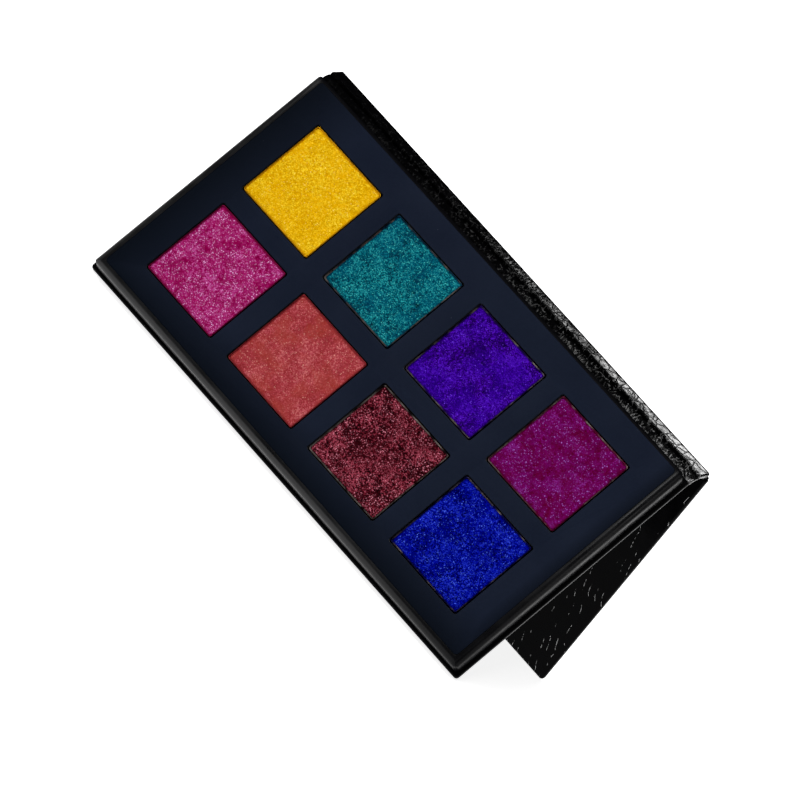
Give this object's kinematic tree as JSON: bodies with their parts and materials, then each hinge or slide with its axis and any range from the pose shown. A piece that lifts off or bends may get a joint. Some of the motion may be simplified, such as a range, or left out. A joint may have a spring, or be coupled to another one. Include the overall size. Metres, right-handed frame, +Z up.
{
  "type": "eyeshadow palette",
  "caption": "Book-style makeup palette: hard black covers, a flexible spine and a tray of square pressed-powder pans, standing open as a tent.",
  "frame": {"origin": "centre of the footprint of the open, standing palette, on the surface it stands on", "axes": "+X along the two hinges, towards the right end as seen from the shades; +Y from the shades to the back of the tent; +Z up"},
  "size_m": [0.149, 0.0718, 0.0777],
  "materials": {
    "black_leatherette": "crinkled patent leatherette, high gloss",
    "greyboard": "plain grey binder's board",
    "adhesive_sheet": "double-sided mounting adhesive",
    "tray_plastic": "moulded, polished black",
    "navy_card": "soft-touch matte print",
    "liner_paper": "matte black paper",
    "pan_tinplate": "pressed tinplate, satin",
    "nickel_plate": "nickel-plated magnet",
    "powder_yellow": "pressed metallic powder, shimmering",
    "powder_teal": "pressed metallic powder, shimmering",
    "powder_purple": "pressed metallic powder, shimmering",
    "powder_magenta": "pressed metallic powder, shimmering",
    "powder_pink": "pressed metallic powder, shimmering",
    "powder_coral": "pressed metallic powder, shimmering",
    "powder_maroon": "pressed metallic powder, shimmering",
    "powder_blue": "pressed metallic powder, shimmering"
  },
  "bodies": {
    "back": {"back_board": "greyboard", "back_wrap": "black_leatherette", "back_lining": "black_leatherette", "tray_adhesive": "adhesive_sheet", "tray": "tray_plastic", "tray_magnets": "nickel_plate", "pan_glue_pads": "adhesive_sheet", "face_card": "navy_card", "pan_yellow": "pan_tinplate", "pan_teal": "pan_tinplate", "pan_purple": "pan_tinplate", "pan_magenta": "pan_tinplate", "pan_pink": "pan_tinplate", "pan_coral": "pan_tinplate", "pan_maroon": "pan_tinplate", "pan_blue": "pan_tinplate", "powder_yellow": "powder_yellow", "powder_teal": "powder_teal", "powder_purple": "powder_purple", "powder_magenta": "powder_magenta", "powder_pink": "powder_pink", "powder_coral": "powder_coral", "powder_maroon": "powder_maroon", "powder_blue": "powder_blue", "back_hinge_strip": "black_leatherette"},
    "spine": {"spine_board": "greyboard", "spine_wrap": "black_leatherette", "spine_lining": "black_leatherette", "lid_hinge_strip": "black_leatherette"},
    "lid": {"lid_board": "greyboard", "lid_wrap": "black_leatherette", "lid_lining": "black_leatherette", "lid_magnets": "nickel_plate", "lid_liner": "liner_paper"}
  },
  "joints": [
    {"name": "spine_hinge", "type": "hinge", "parent": "back", "child": "spine", "pos_m": [0, -0.00062, 0.07492], "axis": [1, 0, 0], "range_deg": [-30, 150], "deforming": ["back_hinge_strip"]},
    {"name": "lid_hinge", "type": "hinge", "parent": "spine", "child": "lid", "pos_m": [0, 0.00868, 0.07632], "axis": [1, 0, 0], "range_deg": [-10, 170], "deforming": ["lid_hinge_strip"]}
  ]
}
